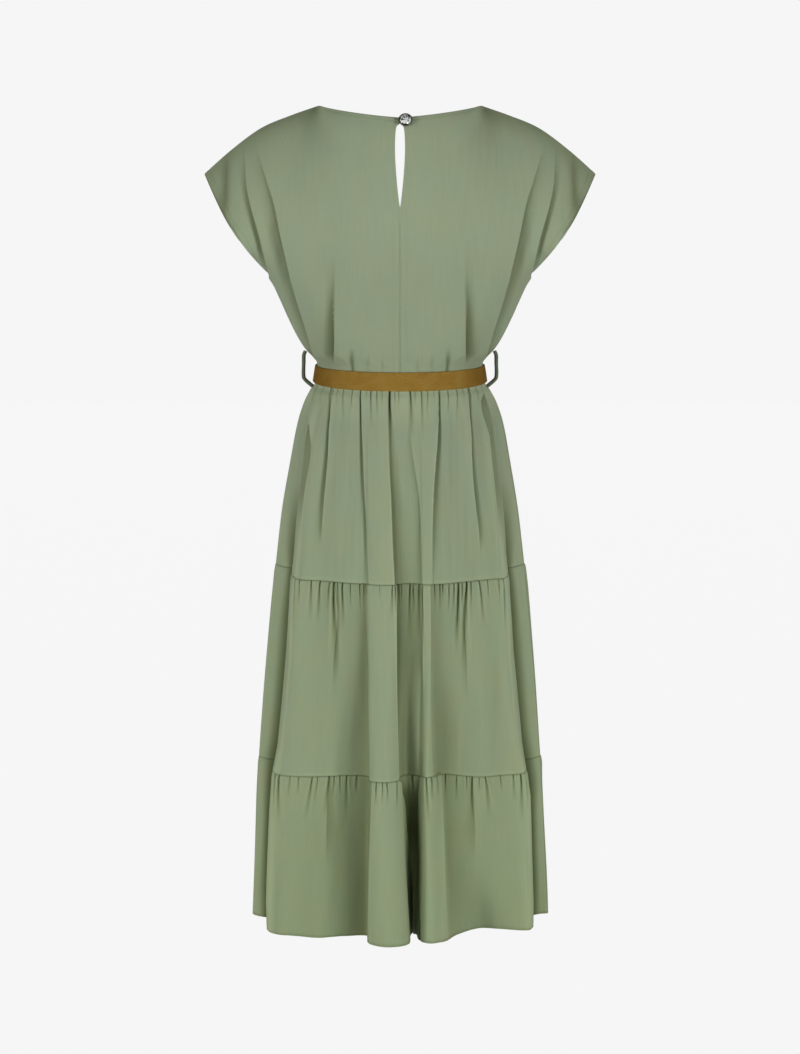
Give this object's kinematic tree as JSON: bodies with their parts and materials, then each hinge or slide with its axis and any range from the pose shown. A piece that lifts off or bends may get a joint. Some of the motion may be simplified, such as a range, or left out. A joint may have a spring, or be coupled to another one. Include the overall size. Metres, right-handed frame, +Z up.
{
  "type": "a-line dress",
  "caption": "Tiered A-line midi dress in worn form with grown-on cap sleeves, open keyhole back with button and cord loop, gathered skirt tiers and a woven belt.",
  "frame": {"origin": "on the centre line between the shoulder seams, at the height of their outer part, where the wearer's shoulders hold the dress", "axes": "+Z up along the dress, +X to the wearer's right side, the back faces -Y"},
  "size_m": [0.538, 0.32, 1.1525],
  "materials": {
    "crepe": "smooth matt sage-green crepe with a faint upright grain",
    "belt_weave": "finely ribbed ochre webbing",
    "crystal": "clear, faceted",
    "dark_metal": "dark, lightly polished"
  },
  "bodies": {
    "root": {"belt": "belt_weave", "belt_buckle_frame": "dark_metal", "belt_buckle_prong": "dark_metal", "belt_end": "belt_weave", "belt_keeper": "belt_weave", "belt_loop_left": "crepe", "belt_loop_right": "crepe", "bodice_back_left": "crepe", "bodice_back_right": "crepe", "bodice_front": "crepe", "button_crystal": "crystal", "button_loop": "crepe", "button_rim": "dark_metal", "tier1_back": "crepe", "tier1_front": "crepe", "tier2_back": "crepe", "tier2_front": "crepe", "tier3_back": "crepe", "tier3_front": "crepe"}
  },
  "joints": []
}
